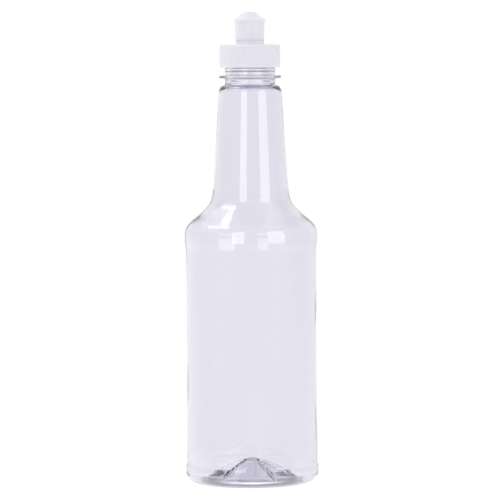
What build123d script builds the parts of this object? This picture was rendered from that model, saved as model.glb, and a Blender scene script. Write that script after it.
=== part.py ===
from build123d import *
import math
import os

# Quart squeeze bottle with a ribbed screw closure, a push-pull spout and a cap liner.
# Millimetres. Origin at the middle of the standing ring, +Z up along the bottle's axis.
# Every outline is a half section: each point is (radius, z). Small offsets inside the
# outlines break or slope the corners. Names in _r are radii; in _low, _top or _z, heights.

os.makedirs("parts", exist_ok=True)

# ---------------------------------------------------------------- shared by several pieces
finish_r = 15.1  # bottle's thread root (E = 30.2)
lip_z = 273.7  # bottle's mouth
pitch = 4.233  # six threads per inch, one start, right-handed
turns = 1.25  # length of both threads
bottle_thread_z = 264.4  # middle line of the bottle's thread at its lower end
deck_low = 274.64  # underside of the closure's deck
spout_low = 278.5  # with the spout shut
catch_top = spout_low + 2.3  # top of the bead inside the spout
spout_travel = 6.0  # closed to open


# ---------------------------------------------------------------- helpers
def line(*points):
    return Polyline(*[(radius, 0, z) for radius, z in points])


def curve(points, start, end):
    """A spline through the points with (radius, z) tangents at both ends."""
    return Spline(
        *[(radius, 0, z) for radius, z in points],
        tangents=[(start[0], 0, start[1]), (end[0], 0, end[1])],
    )


def direction(start, end):
    return end[0] - start[0], end[1] - start[1]


def inset_middle(points, gaps):
    """The points between the two ends of a rising run, each moved inwards by its own gap."""
    moved = []
    for before, (radius, z), after, gap in zip(points, points[1:], points[2:], gaps):
        run, rise = direction(before, after)
        length = math.hypot(run, rise)
        moved.append((radius - rise / length * gap, z + run / length * gap))
    return moved


def lathe(edges):
    wires = Wire.combine([edge for item in edges for edge in item.edges()])
    if len(wires) != 1 or not wires[0].is_closed:
        raise ValueError("the section must be one closed outline")
    return Solid.revolve(Face(wires[0]), 360, Axis.Z)


def helix_thread(foot_r, tip_r, foot_width, tip_width, start_z):
    """One swept trapezoid thread; the widths are axial."""
    path = Helix(pitch=pitch, height=pitch * turns, radius=foot_r, center=(0, 0, start_z))
    start = path.position_at(0)
    corners = [
        (foot_r, -foot_width / 2),
        (tip_r, -tip_width / 2),
        (tip_r, tip_width / 2),
        (foot_r, foot_width / 2),
    ]
    section = Wire.make_polygon(
        [Vector(radius, start.Y, start.Z + z) for radius, z in corners], close=True
    )
    return Solid.sweep(Face(section), path, is_frenet=True)


def write(name, shape):
    solids = shape.solids()
    piece = solids[0] if len(solids) == 1 else Compound(children=list(solids))
    export_step(piece, "parts/" + name + ".step")


# ---------------------------------------------------------------- bottle
stand_in = 30.0  # flat standing ring, inner and outer radius
stand_out = 32.0
stand_floor_in = (stand_in + 0.9, 0.8)  # the bottle's inside, over the standing ring
stand_floor_out = (stand_out, 0.65)
wall = 0.5  # blown wall
heel_wall = 0.6
heel_steps = 8
bumper_r = 41.8  # lower bumper
bumper_low = 7.0  # where the heel curve meets the bumper
bumper_top = 10.3
bumper2_r = 41.7  # upper bumper
bumper2_low = 153.2
bumper2_top = 157.6
neck_low = (23.7, 185.5)  # long neck, tapering
neck_top = (19.75, 245.6)
neck_in_low = (neck_low[0] - 0.6, neck_low[1])
neck_in_top = (neck_top[0] - 0.85, neck_top[1] - 0.6)
root_r = 15.85  # moulded neck under the support ring
root_z = 250.7
ring_r = 19.5  # support ring
ring_low = 254.6
ring_top = 256.7
collar_r = 15.6  # between support ring and transfer bead
bead_r = 16.15  # transfer bead
bead_low = 259.0
bead_top = 261.4
bore_r = 12.8  # mouth
bore_low = 257.0
thread_r = 16.2  # thread crest (T = 32.4)
thread_sink = 0.25  # depth of the thread's foot inside the finish
thread_foot = 2.35  # axial widths
thread_tip = 1.0

# label panel, slightly waisted
panel = [(41.1, 12.9), (40.9, 45.0), (40.8, 84.0), (40.88, 118.0), (41.05, 147.6)]
# from each bumper to the panel, bottom to top
step_low = [(bumper_r, bumper_top), (41.62, 11.3), (41.22, 12.2), panel[0]]
step_high = [
    panel[-1], (41.1, 148.15), (41.33, 149.7), (41.57, 151.3), (41.68, 151.9),
    (bumper2_r, bumper2_low),
]
shoulder = [
    (bumper2_r, bumper2_top), (41.32, 159.6), (40.4, 161.8), (38.6, 164.2),
    (35.6, 166.8), (32.65, 169.3), (30.0, 171.7), (27.6, 174.2),
    (25.75, 176.9), (24.65, 179.9), (24.0, 182.9), neck_low,
]
# the wall is thicker over the shoulder: one value for each point between its ends
shoulder_wall = [0.6, 0.75, 0.95, 1.1, 1.15, 1.15, 1.1, 1.0, 0.85, 0.7]
neck_round = [neck_top, (19.55, 247.4), (18.95, 248.8), (17.9, 249.9), (root_r, root_z)]
# inside, from the mouth's bore down to the neck
throat = [
    (bore_r, bore_low), (13.05, 255.3), (13.6, 253.5), (14.4, 251.8), (15.6, 250.2),
    (17.0, 248.9), (18.1, 247.6), (18.7, 246.2), neck_in_top,
]
# push-up under the bottle: upper face inwards, then lower face outwards
push_up = [
    stand_floor_in, (29.4, 1.8), (27.0, 3.9), (22.0, 7.0),
    (15.6, 10.1), (9.5, 12.8), (4.0, 15.1), (0.0, 15.9),
]
push_up_low = [
    (0.0, 14.0), (4.0, 13.5), (9.5, 11.7), (15.6, 9.2),
    (22.0, 6.2), (26.8, 3.1), (29.0, 0.9), (stand_in, 0.0),
]


def heel_points():
    """Quarter ellipse from the standing ring up to the lower bumper."""
    angles = [i * math.pi / 2 / heel_steps for i in range(heel_steps + 1)]
    return [
        (
            stand_out + (bumper_r - stand_out) * math.sin(angle),
            bumper_low * (1 - math.cos(angle)),
        )
        for angle in angles
    ]


def wall_inside(points):
    """The inside of a nearly upright run, top to bottom."""
    return [(radius - wall, z) for radius, z in reversed(points)]


def bottle_outside(heel):
    neck_slope = direction(neck_low, neck_top)
    return [
        curve(heel, (1, 0), (0, 1)),
        line((bumper_r, bumper_low), (bumper_r, bumper_top)),
        curve(step_low, (0, 1), (0, 1)),
        curve(panel, (0, 1), (0, 1)),
        curve(step_high, (0, 1), (0, 1)),
        line((bumper2_r, bumper2_low), (bumper2_r, bumper2_top)),
        curve(shoulder, (0, 1), neck_slope),
        line(neck_low, neck_top),
        curve(neck_round, neck_slope, (-1, 0.05)),
        # support ring, transfer bead, finish and mouth
        line(
            (root_r, root_z),
            (root_r, ring_low),
            (ring_r - 0.3, ring_low + 0.35),
            (ring_r, ring_low + 0.75),
            (ring_r, ring_top - 0.55),
            (ring_r - 0.25, ring_top - 0.3),
            (collar_r, ring_top),
            (collar_r, bead_low),
            (bead_r, bead_low + 0.45),
            (bead_r, bead_top - 0.75),
            (finish_r, bead_top),
            (finish_r, lip_z - 0.5),
            (finish_r - 0.45, lip_z),
            (bore_r + 0.35, lip_z),
            (bore_r, lip_z - 0.35),
            (bore_r, bore_low),
        ),
    ]


def bottle_inside(heel):
    """The inside from the bore down, then the push-up and the standing ring."""
    neck_slope = direction(neck_in_top, neck_in_low)
    bumper_in = bumper_r - wall
    bumper2_in = bumper2_r - wall
    shoulder_in = [
        neck_in_low,
        *reversed(inset_middle(shoulder, shoulder_wall)),
        (bumper2_in, bumper2_top),
    ]
    heel_in = [
        (bumper_in, bumper_low),
        *reversed(inset_middle(heel, [heel_wall] * len(heel))),
        stand_floor_out,
    ]
    return [
        curve(throat, (0, -1), neck_slope),
        line(neck_in_top, neck_in_low),
        curve(shoulder_in, neck_slope, (0, -1)),
        line((bumper2_in, bumper2_top), (bumper2_in, bumper2_low)),
        curve(wall_inside(step_high), (0, -1), (0, -1)),
        curve(wall_inside(panel), (0, -1), (0, -1)),
        curve(wall_inside(step_low), (0, -1), (0, -1)),
        line((bumper_in, bumper_top), (bumper_in, bumper_low)),
        curve(heel_in, (0, -1), (-1, 0)),
        line(stand_floor_out, stand_floor_in),
        curve(push_up, (-1, 0.35), (-1, 0)),
        line(push_up[-1], push_up_low[0]),
        curve(push_up_low, (1, 0), (0.7, -1)),
        line((stand_in, 0), (stand_out, 0)),
    ]


def make_bottle():
    heel = heel_points()
    body = lathe(bottle_outside(heel) + bottle_inside(heel))
    thread = helix_thread(
        finish_r - thread_sink, thread_r, thread_foot, thread_tip, bottle_thread_z
    )
    return (Part() + body).fuse(thread)


# ---------------------------------------------------------------- closure
skirt_r = 19.0  # over the ribs
skirt_in = 16.5  # inside wall of the skirt
skirt_low = 261.6
band_r = 19.15  # smooth band at the bottom of the skirt
band_top = 263.1
deck_top = 275.9
rib_count = 54
rib_depth = 0.4
groove_r = 0.52  # round-bottomed groove between two ribs
boss_r = 8.95  # round step on the deck
boss_top = 278.4
post_r = 6.6  # hollow post inside the spout
post_bore = 5.4
post_top = 289.0
stop_r = 7.12  # stop bead around the post's top
stop_low = catch_top + spout_travel  # the spout's catch meets it when open
pin_r = 2.33  # plug pin that shuts the spout
pin_foot_r = pin_r + 0.5
pin_top = 296.6
spoke_count = 3
spoke_width = 1.1
spoke_in = pin_r - 0.2  # the spokes' ends lie inside the pin and the post's wall
spoke_out = post_bore + 0.6
spoke_low = post_top - 1.6
spoke_top = post_top - 0.2
inner_crest_r = 15.4  # crest of the inside thread
inner_sink = 0.3  # depth of its foot inside the skirt
inner_foot = 1.9  # axial widths
inner_tip = 0.8
inner_drop = 1.45  # puts it under the lower flank of the bottle's thread

closure_outline = [
    # skirt and deck
    (skirt_in, skirt_low),
    (band_r - 0.25, skirt_low),
    (band_r, skirt_low + 0.25),
    (band_r, band_top - 0.15),
    (skirt_r, band_top),
    (skirt_r, deck_top - 1.3),
    (skirt_r - 0.35, deck_top - 0.55),
    (skirt_r - 1.0, deck_top - 0.1),
    (skirt_r - 1.5, deck_top),
    # boss
    (boss_r + 0.5, deck_top),
    (boss_r, deck_top + 0.5),
    (boss_r, boss_top - 0.25),
    (boss_r - 0.25, boss_top),
    # post and stop bead
    (post_r, boss_top),
    (post_r, stop_low - 0.25),
    (stop_r, stop_low),
    (stop_r, post_top - 1.2),
    (post_r - 0.3, post_top),
    # bore and underside
    (post_bore, post_top),
    (post_bore, deck_low + 0.6),
    (post_bore + 0.7, deck_low),
    (skirt_in, deck_low),
    (skirt_in, skirt_low),
]
pin_outline = [
    (0, spoke_low),
    (pin_foot_r, spoke_low),
    (pin_foot_r, spoke_top),
    (pin_r, post_top + 0.6),
    (pin_r, pin_top - 0.35),
    (pin_r - 0.35, pin_top),
    (0, pin_top),
    (0, spoke_low),
]


def make_closure():
    closure = Part() + lathe([line(*closure_outline)])

    # plug pin on spokes, with a flow passage between them
    closure = closure.fuse(lathe([line(*pin_outline)]))
    spoke = Pos((spoke_in + spoke_out) / 2, 0, (spoke_low + spoke_top) / 2) * Box(
        spoke_out - spoke_in, spoke_width, spoke_top - spoke_low
    )
    for i in range(spoke_count):
        closure = closure.fuse(Rot(0, 0, 90 + 360 / spoke_count * i) * spoke)

    # grip ribs: vertical grooves all the way round above the smooth band
    groove_x = skirt_r - rib_depth + groove_r
    groove = Pos(groove_x, 0, (band_top + deck_top) / 2) * Cylinder(
        groove_r, deck_top - band_top
    )
    grooves = [Rot(0, 0, 360 / rib_count * i) * groove for i in range(rib_count)]
    closure = closure.cut(*grooves)

    # inside thread, the same pitch and turns as the bottle's
    thread = helix_thread(
        skirt_in + inner_sink, inner_crest_r, inner_foot, inner_tip,
        bottle_thread_z - inner_drop,
    )
    return closure.fuse(thread)


# ---------------------------------------------------------------- spout
spout_low_r = 9.0
spout_high_r = 9.25
rim_r = 9.7
rim_low = 290.2
rim_top = 292.1
spout_bore = 7.2
catch_r = 6.68  # inward bead that slides on the post
dome_top = 296.9
orifice_r = 2.4

dome = [
    (rim_r - 0.35, rim_top), (8.6, 292.55), (7.5, 293.3), (6.6, 294.1),
    (5.7, 294.95), (4.8, 295.85), (3.9, 296.6), (3.2, dome_top),
]
# from the catch out and up to the rim
spout_outside = [
    (catch_r, spout_low + 0.3),
    (catch_r + 0.3, spout_low),
    (spout_low_r - 0.25, spout_low),
    (spout_low_r, spout_low + 0.25),
    (spout_high_r, rim_low - 0.5),
    (rim_r - 0.1, rim_low),
    (rim_r, rim_low + 0.3),
    (rim_r, rim_top - 0.35),
    dome[0],
]
# from the dome down through the orifice to the catch
spout_inside = [
    dome[-1],
    (orifice_r + 0.15, dome_top),
    (orifice_r, dome_top - 0.15),
    (orifice_r, dome_top - 2.0),
    (orifice_r + 1.4, dome_top - 3.2),
    (5.6, 291.9),
    (spout_bore, 290.4),
    (spout_bore, catch_top),
    (catch_r, catch_top - 0.4),
    spout_outside[0],
]


def make_spout():
    dome_curve = curve(dome, (-1, 0.05), (-1, 0.05))
    return lathe([line(*spout_outside), dome_curve, line(*spout_inside)])


# ---------------------------------------------------------------- liner
liner_out = 16.2
liner_in = 8.0
liner_gap = 0.02  # to the lip below and the deck above
liner_low = lip_z + liner_gap
liner_top = deck_low - liner_gap


def make_liner():
    outline = line(
        (liner_in, liner_low),
        (liner_out - 0.1, liner_low),
        (liner_out, liner_low + 0.1),
        (liner_out, liner_top),
        (liner_in, liner_top),
        (liner_in, liner_low),
    )
    return lathe([outline])


# ---------------------------------------------------------------- write
write("bottle", make_bottle())
write("closure_body", make_closure())
write("pull_spout", make_spout())
write("cap_liner", make_liner())
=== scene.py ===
"""A clear bottle with a ribbed white screw cap, a white pull spout and a foam liner ring.

It stands on z = 0 with its axis on +Z, and the camera looks at it from -Y.
Profiles are (radius, z) in millimetres; materials, stage, lights and camera are in metres.
"""

import math

import bmesh
import bpy
import numpy as np
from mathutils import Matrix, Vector


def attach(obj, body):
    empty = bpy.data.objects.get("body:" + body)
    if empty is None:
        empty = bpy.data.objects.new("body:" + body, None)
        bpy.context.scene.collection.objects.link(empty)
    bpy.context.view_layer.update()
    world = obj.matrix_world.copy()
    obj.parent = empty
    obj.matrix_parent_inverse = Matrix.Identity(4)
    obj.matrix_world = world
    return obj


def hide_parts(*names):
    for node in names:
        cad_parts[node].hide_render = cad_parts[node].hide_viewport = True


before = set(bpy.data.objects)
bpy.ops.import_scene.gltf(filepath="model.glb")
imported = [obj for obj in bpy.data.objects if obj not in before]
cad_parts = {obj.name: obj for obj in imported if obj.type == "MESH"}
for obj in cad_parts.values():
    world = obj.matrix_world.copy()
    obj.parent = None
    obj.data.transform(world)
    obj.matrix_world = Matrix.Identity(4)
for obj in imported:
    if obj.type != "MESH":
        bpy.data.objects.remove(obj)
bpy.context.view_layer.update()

MM = 0.001
TAU = 2 * math.pi

# directions in a profile plane
OUTWARD, INWARD, UPWARD, DOWNWARD = (1, 0), (-1, 0), (0, 1), (0, -1)

# the screw thread, shared by the bottle and the cap
PITCH = 4.233
TURNS = 1.25
THREAD_LOW = 264.4  # height of the bottle thread's centre where it starts


# ------------------------------------------------------------------ profile helpers


def smooth(points, per, leave, arrive):
    """A cubic curve through the points, per steps to a gap, with the end directions given."""
    points = np.array(points, float)
    gaps = np.linalg.norm(np.diff(points, axis=0), axis=1)
    slopes = np.zeros_like(points)
    for i in range(1, len(points) - 1):
        before, after = gaps[i - 1], gaps[i]
        arriving = (points[i] - points[i - 1]) / before
        leaving = (points[i + 1] - points[i]) / after
        slopes[i] = (arriving * after + leaving * before) / (before + after)
    slopes[0] = np.array(leave, float) / np.linalg.norm(leave)
    slopes[-1] = np.array(arrive, float) / np.linalg.norm(arrive)
    curve = []
    for i, gap in enumerate(gaps):
        for k in range(per):
            t = k / per
            curve.append(
                (2 * t**3 - 3 * t**2 + 1) * points[i]
                + (t**3 - 2 * t**2 + t) * gap * slopes[i]
                + (-2 * t**3 + 3 * t**2) * points[i + 1]
                + (t**3 - t**2) * gap * slopes[i + 1]
            )
    curve.append(points[-1])
    return [tuple(point) for point in curve]


def rounded(rows, arc=5):
    """Rounds the corners of (radius, z, rounding) rows with arc points each; the ends stay."""
    out = [rows[0][:2]]
    for before, row, after in zip(rows, rows[1:], rows[2:]):
        corner = np.array(row[:2], float)
        back, ahead = np.array(before[:2]) - corner, np.array(after[:2]) - corner
        back_length, ahead_length = np.linalg.norm(back), np.linalg.norm(ahead)
        cut = min(row[2], 0.48 * back_length, 0.48 * ahead_length)
        start = corner + back / back_length * cut
        end = corner + ahead / ahead_length * cut
        for k in range(arc):
            t = k / (arc - 1)
            out.append(tuple((1 - t) ** 2 * start + 2 * t * (1 - t) * corner + t * t * end))
    out.append(rows[-1][:2])
    return out


def fill(points, step):
    """Adds points so that no gap is longer than step."""
    out = [points[0]]
    for a, b in zip(points, points[1:]):
        parts = max(1, math.ceil(math.dist(a, b) / step))
        for k in range(1, parts + 1):
            t = k / parts
            out.append((a[0] + (b[0] - a[0]) * t, a[1] + (b[1] - a[1]) * t))
    return out


def chain(*runs):
    """Joins runs of points, leaving out repeated ones."""
    out = []
    for run in runs:
        for point in run:
            if not out or math.dist(out[-1], point) > 1e-5:
                out.append((float(point[0]), float(point[1])))
    return out


def inset(points, gaps):
    """The points between the two ends, each moved to the left of travel by its gap."""
    out = []
    for before, (radius, z), after, gap in zip(points, points[1:], points[2:], gaps):
        across, along = after[0] - before[0], after[1] - before[1]
        length = math.hypot(across, along)
        out.append((radius - along / length * gap, z + across / length * gap))
    return out


def behind(points, gap):
    """The run reversed, with its radii reduced by gap."""
    return [(radius - gap, z) for radius, z in reversed(points)]


def ease(value, low, high):
    """0 below low and 1 above high, with a smooth step between."""
    t = np.clip((value - low) / (high - low), 0, 1)
    return t * t * (3 - 2 * t)


def thread(angle, z, low, height, crest, foot, fade):
    """How far the thread stands out. crest and foot are half widths, fade is its end ramps."""
    stand = np.zeros_like(angle)
    for lap in (0, 1):
        swept = angle % TAU + TAU * lap
        centre = low + PITCH * swept / TAU
        ends = ease(swept, 0.0, fade) * (1 - ease(swept, TAU * TURNS - fade, TAU * TURNS))
        ridge = height * (1 - ease(np.abs(z - centre), crest, foot)) * ends
        stand = np.maximum(stand, ridge)
    return stand


class Moulding:
    """Vertices and faces gathered in millimetres and then made into one mesh."""

    def __init__(self):
        self.points, self.faces, self.count = [], [], 0

    def add(self, points, faces=()):
        """Adds vertices, with faces that count from the first of them, and returns its index."""
        first = self.count
        self.points.append(np.array(points, float))
        self.faces += [tuple(first + i for i in face) for face in faces]
        self.count += len(points)
        return first

    def lathe(self, profile, columns, move=None, closed=False, start=0.0, crowd=0.0):
        """Turns a profile about Z. An open profile starts and ends on the axis.

        move(angle, radius, z, index) gives the shift in radius and z. crowd draws the columns
        closer together at start and every fifth of a turn from it.
        """
        angle = start + TAU * np.arange(columns) / columns
        angle = angle - crowd * np.sin(5 * (angle - start)) / 5
        rings = []
        for i, (radius, z) in enumerate(np.array(profile, float)):
            if not closed and i in (0, len(profile) - 1):
                rings.append((self.add([[0, 0, z]]), True))
                continue
            radii, heights = np.full(columns, radius), np.full(columns, z)
            if move is not None:
                outward, upward = move(angle, radius, z, i)
                radii, heights = radii + outward, heights + upward
            ring = np.stack([radii * np.cos(angle), radii * np.sin(angle), heights], 1)
            rings.append((self.add(ring), False))
        pairs = list(zip(rings, rings[1:]))
        if closed:
            pairs.append((rings[-1], rings[0]))
        sides = [(j, (j + 1) % columns) for j in range(columns)]
        for (low, low_is_pole), (high, high_is_pole) in pairs:
            if low_is_pole:
                self.faces += [(low, high + k, high + j) for j, k in sides]
            elif high_is_pole:
                self.faces += [(low + j, low + k, high) for j, k in sides]
            else:
                self.faces += [(low + j, low + k, high + k, high + j) for j, k in sides]

    def make(self, name):
        mesh = bpy.data.meshes.new(name)
        mesh.from_pydata((np.concatenate(self.points) * MM).tolist(), [], self.faces)
        mesh.update()
        shell = bmesh.new()
        shell.from_mesh(mesh)
        bmesh.ops.recalc_face_normals(shell, faces=shell.faces)
        shell.to_mesh(mesh)
        shell.free()
        mesh.polygons.foreach_set("use_smooth", [True] * len(mesh.polygons))
        mesh.update()
        obj = bpy.data.objects.new(name, mesh)
        bpy.context.scene.collection.objects.link(obj)
        return obj


# ------------------------------------------------------------------ bottle

WALL = 0.5
FOOT_R = 32.0  # where the heel's curve starts
HEEL_R, HEEL_TOP, HEEL_BAND_TOP = 41.8, 7.0, 10.3
BAND_R, BAND_LOW, BAND_TOP = 41.7, 153.2, 157.6  # the plain band under the shoulder
FINISH_R = 15.1  # the wall that carries the thread

# every outline below is (radius, z), from the foot upwards
UNDER = [  # underside, from the axis to the standing ring
    (0, 13.1), (1.2, 13.1), (1.75, 13.55), (4.0, 13.5), (9.5, 11.7),
    (15.6, 9.2), (22.0, 6.2), (26.8, 3.1), (29.0, 0.9), (30.0, 0.0),
]
HEEL = [
    (FOOT_R + (HEEL_R - FOOT_R) * math.sin(a), HEEL_TOP * (1 - math.cos(a)))
    for a in [i * math.pi / 2 / 8 for i in range(9)]
]
PANEL = [(41.1, 12.9), (40.9, 45.0), (40.8, 84.0), (41.0, 118.0), (41.05, 147.6)]
STEP_LOW = [(HEEL_R, HEEL_BAND_TOP), (41.62, 11.3), (41.22, 12.2), PANEL[0]]
STEP_HIGH = [
    PANEL[-1], (41.1, 148.15), (41.33, 149.7), (41.57, 151.3), (41.68, 151.9),
    (BAND_R, BAND_LOW),
]
SHOULDER = [
    (BAND_R, BAND_TOP), (41.32, 159.6), (40.4, 161.8), (38.6, 164.2), (35.6, 166.8),
    (32.65, 169.3), (30.0, 171.7), (27.6, 174.2), (25.75, 176.9), (24.65, 179.9),
    (24.0, 182.9), (23.7, 185.5),
]
# wall thickness at the shoulder's points, its two ends left out
SHOULDER_WALL = [0.52, 0.58, 0.68, 0.85, 1.03, 1.11, 1.07, 0.97, 0.83, 0.7]
NECK_ROUND = [(19.75, 245.6), (19.55, 247.4), (18.95, 248.8), (17.9, 249.9), (15.85, 250.7)]
FINISH = [  # (radius, z, rounding): collar, lower ring, threaded wall, rim and bore
    (15.85, 250.7, 0), (15.85, 254.6, 0.7), (19.3, 254.95, 0.5), (19.5, 255.5, 0.3),
    (19.5, 256.1, 0.3), (19.2, 256.4, 0.3), (15.6, 256.75, 0.3), (15.6, 259.0, 0.5),
    (16.15, 259.4, 0.4), (16.15, 260.7, 0.3), (FINISH_R, 261.4, 0.3), (FINISH_R, 273.7, 0.4),
    (12.8, 273.7, 0.55), (12.8, 257.0, 0),
]
# inner outlines are from the mouth downwards
THROAT = [
    (12.8, 257.0), (12.8, 255.0), (12.92, 252.75), (13.45, 250.85), (14.5, 249.6),
    (15.95, 249.1), (17.15, 248.68), (18.05, 247.95), (18.6, 247.05), (18.82, 246.0),
    (18.9, 245.0),
]
NECK_FOOT_IN = (23.1, 185.5)
HEEL_WALL = 0.6
HEEL_FOOT_IN = (32.0, 0.65)
FLOOR_IN = [
    (30.9, 0.9), (29.4, 1.9), (27.0, 4.3), (22.0, 8.1),
    (15.6, 11.3), (9.5, 13.7), (4.0, 15.3), (0.0, 15.9),
]

# unevenness of the blown wall: (depth, waves round, turn with height, phase, inner phase sign)
RIPPLES = [
    (0.022, 3, 0.031, 0.6, 1),
    (0.016, 5, -0.052, 2.1, 1),
    (0.012, 9, 0.083, 4.4, -1),
    (0.007, 14, -0.11, 1.2, 2),
]
RIPPLE_SCALE = 0.55
INNER_RIPPLE = 1.5  # inner ripple beside the outer's
INNER_PHASE = 1.9


def direction(start, end):
    return (end[0] - start[0], end[1] - start[1])


def bottle_finish():
    """The outline above the neck, with close rows where the thread is."""
    points = fill(rounded(FINISH), 1.6)
    straight = [
        i for i, (radius, z) in enumerate(points)
        if abs(radius - FINISH_R) < 1e-6 and 261.3 < z < 273.4
    ]
    first, last = straight[0], straight[-1]
    return points[:first] + fill([points[first], points[last]], 0.25) + points[last + 1 :]


def bottle_outer():
    neck_slope = direction(SHOULDER[-1], NECK_ROUND[0])
    return chain(
        smooth(UNDER, 5, OUTWARD, (0.7, -0.75)),
        [(31.0, 0), (FOOT_R, 0)],
        smooth(HEEL, 2, OUTWARD, UPWARD),
        fill([(HEEL_R, HEEL_TOP), (HEEL_R, HEEL_BAND_TOP)], 1.2),
        smooth(STEP_LOW, 4, UPWARD, UPWARD),
        fill(smooth(PANEL, 9, UPWARD, UPWARD), 3.6),
        smooth(STEP_HIGH, 4, UPWARD, UPWARD),
        fill([(BAND_R, BAND_LOW), (BAND_R, BAND_TOP)], 1.5),
        smooth(SHOULDER, 4, UPWARD, neck_slope),
        fill([SHOULDER[-1], NECK_ROUND[0]], 2.2),
        smooth(NECK_ROUND, 5, neck_slope, (-1, 0.05)),
        bottle_finish(),
    )


def bottle_inner():
    neck_slope = direction(THROAT[-1], NECK_FOOT_IN)
    band_r, heel_r = BAND_R - WALL, HEEL_R - WALL
    shoulder = [NECK_FOOT_IN, *reversed(inset(SHOULDER, SHOULDER_WALL)), (band_r, BAND_TOP)]
    heel_middle = inset(HEEL, [HEEL_WALL] * (len(HEEL) - 2))
    heel = [(heel_r, HEEL_TOP), *reversed(heel_middle), HEEL_FOOT_IN]
    return chain(
        smooth(THROAT, 4, DOWNWARD, neck_slope),
        fill([THROAT[-1], NECK_FOOT_IN], 3.0),
        smooth(shoulder, 4, neck_slope, DOWNWARD),
        [(band_r, (BAND_LOW + BAND_TOP) / 2), (band_r, BAND_LOW)],
        smooth(behind(STEP_HIGH, WALL), 3, DOWNWARD, DOWNWARD),
        fill(smooth(behind(PANEL, WALL), 9, DOWNWARD, DOWNWARD), 3.6),
        smooth(behind(STEP_LOW, WALL), 3, DOWNWARD, DOWNWARD),
        [(heel_r, 8.6), (heel_r, HEEL_TOP)],
        smooth(heel, 2, DOWNWARD, INWARD),
        [(31.4, 0.68)],
        smooth(FLOOR_IN, 6, (-1, 0.35), INWARD),
    )


def base_grooves(angle, radius):
    """Five narrow radial grooves in the raised base, deeper towards -Y.

    The petal between grooves that faces -Y is turned 6 degrees towards -X.
    """
    from_groove = (angle + math.pi / 2 + math.radians(6.0)) % (TAU / 5) - TAU / 10
    across = np.abs(from_groove) * radius
    depth = 0.5 + 0.35 * ease(np.cos(angle + math.pi / 2), 0.2, 0.6)
    cut = np.exp(-((across / 0.85) ** 2)) * depth + np.exp(-((across / 2.6) ** 2)) * 0.25
    return -cut * ease(radius, 4.5, 7.5) * (1 - ease(radius, 24.0, 28.0))


def wall_ripple(angle, z, outside):
    fade = ease(z, 6, 16) * (1 - ease(z, 232, 249))
    strength = 1.0 if outside else INNER_RIPPLE
    shift = 0.0 if outside else INNER_PHASE
    waves = sum(
        depth * np.sin(count * angle + turn * z + phase + sign * shift)
        for depth, count, turn, phase, sign in RIPPLES
    )
    return RIPPLE_SCALE * fade * strength * waves


def build_bottle():
    outer = bottle_outer()

    def move(angle, radius, z, index):
        outside = index < len(outer)
        if z < 16.5 and radius < 29.0:
            return 0, base_grooves(angle, radius)
        if outside and 261.3 < z < 273.2 and radius > 14.9:
            stand = thread(
                angle, z, low=THREAD_LOW, height=1.1, crest=0.42, foot=1.18, fade=0.35
            )
            return stand, 0
        if 6 < z < 250 and radius > 16:
            return wall_ripple(angle, z, outside), 0
        return 0, 0

    body = Moulding()
    start = -math.pi / 2 + math.radians(28.5)
    body.lathe(chain(outer, bottle_inner()), 160, move, start=start, crowd=0.6)
    return body.make("bottle_shell")


# ------------------------------------------------------------------ closure

SKIRT_R = 19.0
BORE_R = 16.5  # inside of the skirt
RIBS = 54
COLUMNS_PER_RIB = 8
CLOSURE = [  # (radius, z, rounding): band, skirt, deck, post, post bore, deck underside
    (BORE_R, 261.6, 0), (19.15, 261.6, 0.3), (19.15, 263.0, 0.2), (SKIRT_R, 263.25, 0.15),
    (SKIRT_R, 275.9, 1.25), (8.95, 275.9, 0.6), (8.97, 278.46, 0.05), (6.6, 278.46, 0.35),
    (6.6, 286.55, 0.12), (7.12, 286.8, 0.2), (7.12, 287.8, 0.4), (6.3, 289.0, 0.25),
    (5.4, 289.0, 0.3), (5.4, 275.2, 0.3), (6.1, 274.64, 0.2), (BORE_R, 274.64, 0.4),
    (BORE_R, 261.6, 0),
]
PIN = [  # (radius, z, rounding)
    (0, 287.3, 0), (2.83, 287.3, 0.25), (2.83, 288.8, 0.3),
    (2.33, 289.6, 0.3), (2.33, 296.1, 0.4), (0, 296.1, 0),
]
SPOKE_SECTION = [  # (across, z), with a crowned top
    (-0.55, 287.45), (0.55, 287.45), (0.62, 288.0), (0.5, 288.62),
    (0.2, 288.78), (-0.2, 288.78), (-0.5, 288.62), (-0.62, 288.0),
]
# (radius, width factor), waisted between the pin and the post's wall
SPOKE_STATIONS = [(2.2, 1.25), (2.9, 1.05), (4.0, 0.9), (5.0, 1.02), (5.6, 1.25)]


def rib_grooves(angle, radius, z):
    """Rounded grooves between the ribs of the skirt."""
    place = (angle * RIBS / TAU) % 1.0
    across = np.minimum(place, 1 - place) * TAU / RIBS * SKIRT_R
    groove = 0.18 * np.clip(1 - (across / 0.7) ** 2, 0, 1)
    fade = ease(z, 263.2, 263.8) * (1 - 0.55 * ease(z, 275.3, 275.9))
    return -groove * fade * ease(radius, 17.6, 18.4)


def add_spoke(part, angle):
    cos, sin = math.cos(angle), math.sin(angle)
    size, last = len(SPOKE_SECTION), len(SPOKE_STATIONS) - 1
    points = [
        (x * cos - y * width * sin, x * sin + y * width * cos, z)
        for x, width in SPOKE_STATIONS
        for y, z in SPOKE_SECTION
    ]
    faces = []
    for i in range(last):
        near, far = i * size, (i + 1) * size
        for j in range(size):
            k = (j + 1) % size
            faces.append((near + j, near + k, far + k, far + j))
    faces += [tuple(range(size)), tuple(range(last * size, (last + 1) * size))[::-1]]
    part.add(points, faces)


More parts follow.
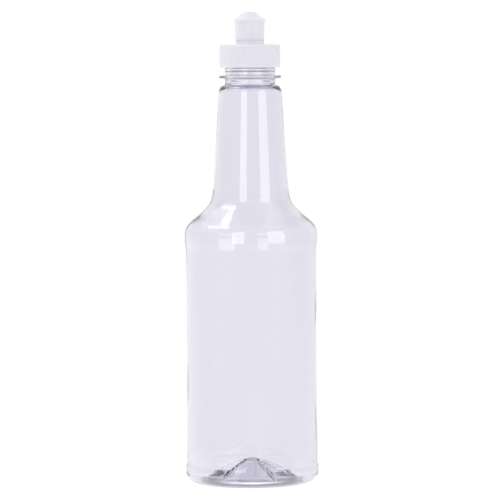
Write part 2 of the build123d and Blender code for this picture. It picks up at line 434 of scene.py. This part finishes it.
def build_closure():
    outside = fill(rounded(CLOSURE, 6)[:-1], 0.9)
    # close rows down the bore for the thread
    profile = chain(outside, fill([outside[-1], (BORE_R, 261.9)], 0.24))
    deck = next(i for i, (radius, z) in enumerate(profile) if radius < 17.0 and z > 275)

    def move(angle, radius, z, index):
        if index < deck and radius > 17.5 and z > 263.2:
            return rib_grooves(angle, radius, z), 0
        if abs(radius - BORE_R) < 0.1 and z < 274.3 and index > deck:
            stand = thread(
                angle, z, low=THREAD_LOW - 1.45, height=1.08, crest=0.3, foot=0.86, fade=0.3
            )
            return -stand, 0
        return 0, 0

    cap = Moulding()
    cap.lathe(profile, RIBS * COLUMNS_PER_RIB, move, closed=True)
    cap.lathe(fill(rounded(PIN, 6), 0.8), 64)
    for i in range(3):
        add_spoke(cap, math.radians(90 + 120 * i))
    return cap.make("closure_cap")


# ------------------------------------------------------------------ spout

SPOUT_FOOT = [(7.3, 278.5), (8.0, 278.5)]
BARREL = [  # (radius, z, rounding); the first row only gives the direction of the foot
    (6.68, 278.5, 0), (9.0, 278.5, 0.04), (9.25, 289.7, 1.6),
    (9.7, 290.25, 0.3), (9.7, 292.1, 0.35), (8.75, 292.25, 0),
]
DOME = [
    (8.75, 292.25), (8.3, 292.55), (7.5, 293.1), (6.7, 293.75),
    (5.8, 294.45), (4.9, 295.2), (4.0, 295.95), (3.1, 296.4),
]
HOLE = [  # (radius, z, rounding), from the tip down the inside
    (3.1, 296.4, 0), (2.4, 296.4, 0.18), (2.4, 294.7, 0.3), (3.8, 293.7, 0.3),
    (5.6, 291.9, 0.3), (7.2, 290.4, 0.6), (7.2, 280.8, 0.4), (6.68, 280.4, 0.15),
    (6.68, 278.5, 0.3), (7.3, 278.5, 0),
]


def build_spout():
    profile = chain(
        fill(SPOUT_FOOT, 0.4),
        fill(rounded(BARREL, 6)[1:], 0.8),
        smooth(DOME, 4, (-1, 0.25), (-1, 0.1)),
        fill(rounded(HOLE), 0.8),
    )
    sleeve = Moulding()
    sleeve.lathe(profile[:-1], 168, closed=True)
    return sleeve.make("spout_sleeve")


# ------------------------------------------------------------------ liner

LINER_ROUND = 0.16
LINER = [  # (radius, z, rounding)
    (12.0, 273.72, 0), (16.2, 273.72, LINER_ROUND), (16.2, 274.62, LINER_ROUND),
    (8.0, 274.62, LINER_ROUND), (8.0, 273.72, LINER_ROUND), (12.0, 273.72, 0),
]


def build_liner():
    ring = Moulding()
    ring.lathe(fill(rounded(LINER)[:-1], 0.5), 120, closed=True)
    return ring.make("liner_ring")


bottle = build_bottle()
closure = build_closure()
spout = build_spout()
liner = build_liner()

for piece, body, node, slot in (
    (bottle, "bottle", "bottle", "clear_pet"),
    (closure, "cap", "closure_body", "closure_white"),
    (spout, "spout", "pull_spout", "spout_white"),
    (liner, "liner", "cap_liner", "liner_foam"),
):
    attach(piece, body)
    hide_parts(node)

# ------------------------------------------------------------------ materials


class Graph:
    """Adds shader nodes to the emptied node tree of a material or world."""

    def __init__(self, owner):
        owner.use_nodes = True
        self.tree = owner.node_tree
        self.tree.nodes.clear()

    def add(self, kind, inputs=None, **props):
        """A socket, or a node for its first output, is linked; anything else is set."""
        node = self.tree.nodes.new("ShaderNode" + kind)
        for key, value in props.items():
            setattr(node, key, value)
        for key, value in (inputs or {}).items():
            if isinstance(value, bpy.types.Node):
                value = value.outputs[0]
            if isinstance(value, bpy.types.NodeSocket):
                self.tree.links.new(value, node.inputs[key])
            else:
                node.inputs[key].default_value = value
        return node

    def math(self, operation, a, b=0.0):
        return self.add("Math", {0: a, 1: b}, operation=operation)

    def plus(self, a, b):
        return self.math("ADD", a, b)

    def times(self, a, b):
        return self.math("MULTIPLY", a, b)

    def remap(self, value, span, to=(0.0, 1.0)):
        return self.add("MapRange", {0: value, 1: span[0], 2: span[1], 3: to[0], 4: to[1]})

    def mix(self, factor, a, b):
        return self.add("Mix", {0: factor, 6: a, 7: b}, data_type="RGBA").outputs[2]

    def noise(self, vector, **inputs):
        return self.add("TexNoise", {"Vector": vector, **inputs}).outputs["Fac"]

    def bump(self, height, strength, distance):
        return self.add("Bump", {"Height": height, "Strength": strength, "Distance": distance})

    def object_place(self):
        return self.add("TexCoord").outputs["Object"]

    def surface(self, shader):
        self.add("OutputMaterial", {"Surface": shader})


def clear_pet():
    mat = bpy.data.materials.new("clear_pet")
    g = Graph(mat)
    place = g.object_place()
    tall = g.add("Mapping", {"Vector": place, "Scale": (1, 1, 0.16)})
    broad = g.noise(tall, Scale=42.0, Detail=2.0, Roughness=0.45)
    fine = g.noise(place, Scale=900.0, Detail=3.0, Roughness=0.6)
    rub = g.noise(place, Scale=120.0, Detail=4.0, Roughness=0.65, Distortion=1.2)
    x, y, z = g.add("SeparateXYZ", {"Vector": place}).outputs
    # mould parting line: a fine raised line down the +X and -X sides
    line = g.remap(g.math("ABSOLUTE", y), span=(0.0, 0.00028), to=(1.0, 0.0))
    seam = g.times(line, g.remap(g.math("ABSOLUTE", x), span=(0.012, 0.014)))
    height = g.plus(g.times(broad, 1.0), g.times(seam, 0.35))
    height = g.plus(height, g.times(fine, 0.015))
    bump = g.bump(height, strength=0.35, distance=0.00012)

    def band(centre, span):
        away = g.math("ABSOLUTE", g.math("SUBTRACT", z, centre))
        return g.remap(away, span=span, to=(1.0, 0.0))

    # light scuffs, mostly round the heel and the band under the shoulder
    bands = g.math("MAXIMUM", band(0.0072, (0.001, 0.006)), band(0.1554, (0.001, 0.0035)))
    patches = g.remap(rub, span=(0.52, 0.72))
    scuff = g.times(patches, g.plus(g.times(bands, 0.9), 0.1))
    rough = g.plus(g.remap(broad, span=(0.3, 0.7), to=(0.006, 0.03)), g.times(scuff, 0.12))
    # the thick moulded neck has a tone of its own
    neck = g.remap(z, span=(0.2485, 0.252))
    blend = g.remap(broad, span=(0.35, 0.65))
    tone = g.mix(blend, (0.895, 0.884, 0.938, 1), (0.915, 0.905, 0.955, 1))
    tone = g.mix(g.times(neck, 0.7), tone, (0.905, 0.895, 0.945, 1))
    glass = g.add("BsdfPrincipled", {
        "Base Color": tone,
        "Roughness": rough,
        "IOR": 1.57,
        "Transmission Weight": 1.0,
        "Normal": bump,
    })
    # shadow and diffuse rays pass straight through
    clear = g.add("BsdfTransparent", {"Color": (0.95, 0.945, 0.97, 1)})
    rays = g.add("LightPath").outputs
    passing = g.math("MAXIMUM", rays["Is Shadow Ray"], rays["Is Diffuse Ray"])
    g.surface(g.add("MixShader", {0: passing, 1: glass, 2: clear}))
    return mat


def white_plastic(name, base, dark, roughness, subsurface):
    mat = bpy.data.materials.new(name)
    g = Graph(mat)
    place = g.object_place()
    flow = g.noise(place, Scale=95.0, Detail=3.0, Roughness=0.55)
    grain = g.noise(place, Scale=2600.0, Detail=2.0, Roughness=0.6)
    specks = g.add("TexVoronoi", {"Vector": place, "Scale": 1500.0}, feature="F1")
    # pointiness paints light and shade: creases and grooves are darkened as painted shade, and
    # convex edges are lightened as a painted highlight and made a little glossier
    pointiness = g.add("NewGeometry").outputs["Pointiness"]
    edge_highlight = g.remap(pointiness, span=(0.5, 0.56))
    crease_shade = g.remap(pointiness, span=(0.44, 0.5), to=(1.0, 0.0))
    crease_shade_tone = tuple(channel * 0.86 for channel in dark[:3]) + (1,)
    tone = g.mix(g.remap(flow, span=(0.3, 0.7)), dark, base)
    tone = g.mix(g.times(crease_shade, 0.35), tone, crease_shade_tone)
    tone = g.mix(g.times(edge_highlight, 0.25), tone, (0.93, 0.93, 0.94, 1))
    rough = g.plus(g.remap(flow, span=(0.3, 0.7), to=roughness), g.times(edge_highlight, -0.05))
    height = g.plus(g.times(grain, 0.6), g.times(specks.outputs["Distance"], 0.4))
    height = g.plus(height, g.times(flow, 1.4))
    g.surface(g.add("BsdfPrincipled", {
        "Base Color": tone,
        "Roughness": rough,
        "IOR": 1.49,
        "Normal": g.bump(height, strength=0.3, distance=0.00004),
        "Subsurface Weight": subsurface,
        "Subsurface Radius": (1.0, 0.95, 1.0),
        "Subsurface Scale": 0.002,
    }))
    return mat


def foam():
    mat = bpy.data.materials.new("liner_foam")
    g = Graph(mat)
    place = g.object_place()
    cells = g.add("TexVoronoi", {"Vector": place, "Scale": 2200.0}, feature="DISTANCE_TO_EDGE")
    depth = cells.outputs["Distance"]
    cloud = g.noise(place, Scale=260.0, Detail=3.0)
    cell = g.remap(depth, span=(0.0, 0.12))
    tone = g.mix(cell, (0.72, 0.72, 0.71, 1), (0.9, 0.9, 0.89, 1))
    patches = g.remap(cloud, span=(0.4, 0.7), to=(0.0, 0.4))
    tone = g.mix(patches, tone, (0.84, 0.835, 0.82, 1))
    g.surface(g.add("BsdfPrincipled", {
        "Base Color": tone,
        "Roughness": g.remap(cloud, span=(0.3, 0.7), to=(0.6, 0.8)),
        "Normal": g.bump(depth, strength=0.5, distance=0.0001),
    }))
    return mat


bottle.data.materials.append(clear_pet())
closure.data.materials.append(white_plastic(
    "closure_white",
    base=(0.875, 0.858, 0.935, 1),
    dark=(0.85, 0.832, 0.915, 1),
    roughness=(0.36, 0.48),
    subsurface=0.4,
))
spout.data.materials.append(white_plastic(
    "spout_white",
    base=(0.885, 0.868, 0.945, 1),
    dark=(0.86, 0.842, 0.925, 1),
    roughness=(0.28, 0.4),
    subsurface=0.5,
))
liner.data.materials.append(foam())

# ------------------------------------------------------------------ surroundings

# Brightness maps. Each row is one value, or values evenly spaced round the object from the
# front (-Y) by way of its left (-X), back and right.

# what matt surfaces gather, a row for each upward part of the direction
BROAD_RISE = [-1.0, -0.4, 0.1, 0.6, 1.0]
BROAD = [
    [0.95],
    [0.88, 0.9, 1.1, 1.1, 1.0, 1.0, 0.96, 0.94],
    [0.8, 0.86, 1.35, 1.2, 1.0, 1.0, 1.0, 1.02],
    [0.92, 0.96, 1.15, 1.1, 1.0, 1.0, 1.0, 1.0],
    [1.0],
]
# what clear and glossy surfaces show, with rows as above
RISE = [-1.0, -0.7, -0.4, -0.15, 0.1, 0.35, 0.6, 0.8, 1.0]
STUDIO = [
    [0.1],
    [0.2, 0.2, 0.25, 0.3, 0.3, 0.3, 0.25, 0.2],
    [0.9, 0.88, 0.9, 0.92, 0.88, 0.9, 0.9, 0.88],
    [0.9, 1.02, 0.95, 1.15, 0.97, 0.83, 0.86, 0.91],
    [0.56, 0.59, 0.54, 0.88, 0.98, 0.85, 0.44, 0.48],
    [0.72, 0.68, 0.8, 0.91, 1.0, 0.83, 0.74, 0.78],
    [0.79, 0.88, 0.98, 1.02, 0.94, 0.91, 0.72, 0.83],
    [0.71, 0.72, 0.87, 0.88, 0.59, 0.76, 0.65, 0.8],
    [0.65],
]
# painted shadow and painted light on the table near the foot, as the object sees it, a row for
# each distance from the axis
RING = [0.0, 0.012, 0.020, 0.026, 0.030, 0.034, 0.042, 0.060, 0.100]
TABLE_PAINTED_SHADE_AND_LIGHT = [
    [0.08],
    [1.6, 0.45, 0.2, 0.55],
    [1.6, 0.4, 0.25, 0.4],
    [0.24, 0.17, 0.38, 0.17],
    [0.28, 0.17, 0.5, 0.17],
    [0.72, 0.75, 0.9, 0.8],
    [1.06, 1.06, 1.06, 0.95],
    [0.73, 1.15, 0.86, 1.08],
    [0.67, 0.99, 1.06, 0.9],
]


def hat(g, value, stops, i):
    """1 at stop i, falling to 0 at its neighbours."""
    sides = []
    if i > 0:
        sides.append(g.remap(value, span=(stops[i - 1], stops[i])))
    if i < len(stops) - 1:
        sides.append(g.remap(value, span=(stops[i], stops[i + 1]), to=(1.0, 0.0)))
    return sides[0] if len(sides) == 1 else g.math("MINIMUM", *sides)


def grey(level):
    """A grey, a little bluer the darker it is."""
    return (level, level, level + max(0.0, 0.05 * (1 - level)), 1)


def field(g, value, turn, stops, table):
    """A smooth map over value, a table row to a stop, and turn, 0 to 1 for a full turn."""
    total = None
    for i, row in enumerate(table):
        weight = hat(g, value, stops, i)
        ramp = g.add("ValToRGB", {"Fac": turn})
        elements = ramp.color_ramp.elements
        elements[0].position, elements[0].color = 0.0, grey(row[0])
        elements[1].position, elements[1].color = 1.0, grey(row[0])
        for k in range(1, len(row)):
            elements.new(k / len(row)).color = grey(row[k])
        part = g.add("VectorMath", {0: ramp, "Scale": weight}, operation="SCALE")
        if total is None:
            total = part
        else:
            total = g.add("VectorMath", {0: total, 1: part}, operation="ADD")
    return total


def turn_of(g, right, forward):
    angle = g.math("ARCTAN2", right, forward)
    return g.remap(angle, span=(-math.pi, math.pi))


def surround(g, direction):
    """Studio brightness in a direction, its turn measured from the camera."""
    seen = g.add(
        "VectorTransform", {"Vector": direction},
        vector_type="VECTOR", convert_from="WORLD", convert_to="CAMERA",
    )
    axes = g.add("SeparateXYZ", {"Vector": seen}).outputs
    turn = turn_of(g, axes[0], axes[2])
    rise = g.add("SeparateXYZ", {"Vector": direction}).outputs[2]
    glossy = field(g, rise, turn, RISE, STUDIO)
    matt = field(g, rise, turn, BROAD_RISE, BROAD)
    is_diffuse = g.add("LightPath").outputs["Is Diffuse Ray"]
    return g.add("MixRGB", {0: is_diffuse, 1: glossy, 2: matt})


def emission(g, color, strength):
    return g.add("Emission", {"Color": color, "Strength": strength})


WHITE = (1, 1, 1, 1)
FLOOR_HALF = 6
FLOOR_Z = -0.0004


def floor_material():
    mat = bpy.data.materials.new("pale_floor")
    g = Graph(mat)
    position = g.add("NewGeometry").outputs["Position"]
    away = g.add("VectorMath", {0: position}, operation="LENGTH").outputs["Value"]
    # what the camera sees: a floor that takes shade near the object, plain white further out
    lit = g.add("BsdfDiffuse", {"Color": (0.24, 0.24, 0.24, 1)})
    near = g.add("AddShader", {0: lit, 1: emission(g, WHITE, strength=0.86)})
    far = emission(g, WHITE, strength=1.0)
    distance = g.remap(away, span=(0.08, 0.30))
    seen = g.add("MixShader", {0: distance, 1: near, 2: far})
    # what the object sees: the table map near the foot, with its painted shadow and painted
    # light, and the studio's further out
    incoming = g.add("NewGeometry").outputs["Incoming"]
    ray = g.add("VectorMath", {0: incoming, "Scale": -1.0}, operation="SCALE")
    spot = g.add("SeparateXYZ", {"Vector": g.add("NewGeometry").outputs["Position"]}).outputs
    close = field(g, away, turn_of(g, spot[0], spot[1]), RING, TABLE_PAINTED_SHADE_AND_LIGHT)
    blend = g.remap(away, span=(0.10, 0.16))
    level = g.add("MixRGB", {0: blend, 1: close, 2: surround(g, ray)})
    other = emission(g, level, strength=1.0)
    is_camera = g.add("LightPath").outputs["Is Camera Ray"]
    g.surface(g.add("MixShader", {0: is_camera, 1: other, 2: seen}))
    return mat


def build_floor():
    mesh = bpy.data.meshes.new("floor")
    signs = [(-1, -1), (1, -1), (1, 1), (-1, 1)]
    corners = [(x * FLOOR_HALF, y * FLOOR_HALF, FLOOR_Z) for x, y in signs]
    mesh.from_pydata(corners, [], [(0, 1, 2, 3)])
    floor = bpy.data.objects.new("floor", mesh)
    scene.collection.objects.link(floor)
    mesh.materials.append(floor_material())


def build_world():
    """White to the camera, the studio to everything else."""
    world = bpy.data.worlds.new("studio")
    scene.world = world
    g = Graph(world)
    level = surround(g, g.add("TexCoord").outputs["Generated"])
    studio = g.add("Background", {"Color": level, "Strength": 1.0})
    plain = g.add("Background", {"Color": WHITE, "Strength": 1.0})
    is_camera = g.add("LightPath").outputs["Is Camera Ray"]
    both = g.add("MixShader", {0: is_camera, 1: studio, 2: plain})
    g.add("OutputWorld", {"Surface": both})


scene = bpy.context.scene
build_floor()
build_world()

# ------------------------------------------------------------------ lights

STRIP_DISTANCE = 1.6
STRIP_LOW, STRIP_HIGH = 0.073, 1.26
PANEL_Z = 1.67


def softbox(name, location, rotation, width, height, glow):
    """A lit rectangle. glow is its brightness beside the white wall's 1."""
    light = bpy.data.lights.new(name, "AREA")
    light.shape = "RECTANGLE"
    light.size, light.size_y = width, height
    light.energy = glow * math.pi * width * height
    obj = bpy.data.objects.new(name, light)
    obj.location = location
    obj.rotation_euler = rotation
    obj.visible_camera = False
    obj.visible_diffuse = False
    scene.collection.objects.link(obj)


def standing(name, azimuth, width, glow):
    """An upright softbox; azimuth 0 is where the camera stands and positive is towards +X."""
    angle = math.radians(azimuth)
    x, y = math.sin(angle), -math.cos(angle)
    location = (x * STRIP_DISTANCE, y * STRIP_DISTANCE, (STRIP_LOW + STRIP_HIGH) / 2)
    rotation = Vector((-x, -y, 0)).to_track_quat("-Z", "Y").to_euler()
    softbox(name, location, rotation, width, STRIP_HIGH - STRIP_LOW, glow)


def overhead(name, start, along, length, width, side, glow, z):
    """A flat bar that faces down and runs from start; side 1 puts its width left of along."""
    across = np.array([-along[1], along[0]]) * side
    middle = start + along * length / 2 + across * width / 2
    rotation = (0, 0, math.atan2(along[1], along[0]))
    softbox(name, (middle[0], middle[1], z), rotation, length, width, glow)


def unit(x, y):
    return np.array([x, y]) / np.linalg.norm([x, y])


standing("strip_left", azimuth=-22.7, width=0.60, glow=1.7)
standing("strip_right", azimuth=45.0, width=0.89, glow=1.6)

# a large panel overhead on the left, with its two near edges brighter than its middle
corner = np.array([-0.85, -0.60])
back_edge, left_edge = unit(0.34, 0.94), unit(-0.69, 0.73)
overhead(
    "top_rim_back", corner, back_edge,
    length=2.0, width=0.25, side=1, glow=1.15, z=PANEL_Z,
)
overhead(
    "top_rim_left", corner + left_edge * 0.15, left_edge,
    length=1.1, width=0.5, side=-1, glow=1.5, z=PANEL_Z - 0.02,
)
overhead(
    "top_middle", corner, back_edge,
    length=2.0, width=1.3, side=1, glow=0.6, z=PANEL_Z + 0.05,
)

# ------------------------------------------------------------------ camera and render

CAMERA_AWAY, CAMERA_Z = 2.28, 0.262
AIM_Z = 0.14675  # height on the axis that the camera looks at
ROLL = math.radians(0.35)
SENSOR = 36.0
VIEW_DISTANCE, VIEW_WIDTH = 2.2843, 0.315  # the view is this wide at this distance

cam_data = bpy.data.cameras.new("camera")
cam = bpy.data.objects.new("camera", cam_data)
scene.collection.objects.link(cam)
scene.camera = cam
cam_data.sensor_width = SENSOR
cam_data.lens = SENSOR * VIEW_DISTANCE / VIEW_WIDTH
cam.location = (0.0, -CAMERA_AWAY, CAMERA_Z)
tilt = math.atan((CAMERA_Z - AIM_Z) / CAMERA_AWAY)
cam.rotation_euler = (math.pi / 2 - tilt, ROLL, 0)
cam_data.clip_start, cam_data.clip_end = 0.05, 50

scene.view_settings.view_transform = "Standard"
scene.view_settings.look = "None"
scene.cycles.max_bounces = 24
scene.cycles.transmission_bounces = 20
scene.cycles.glossy_bounces = 8
scene.cycles.transparent_max_bounces = 16
scene.cycles.caustics_reflective = True
scene.cycles.caustics_refractive = True
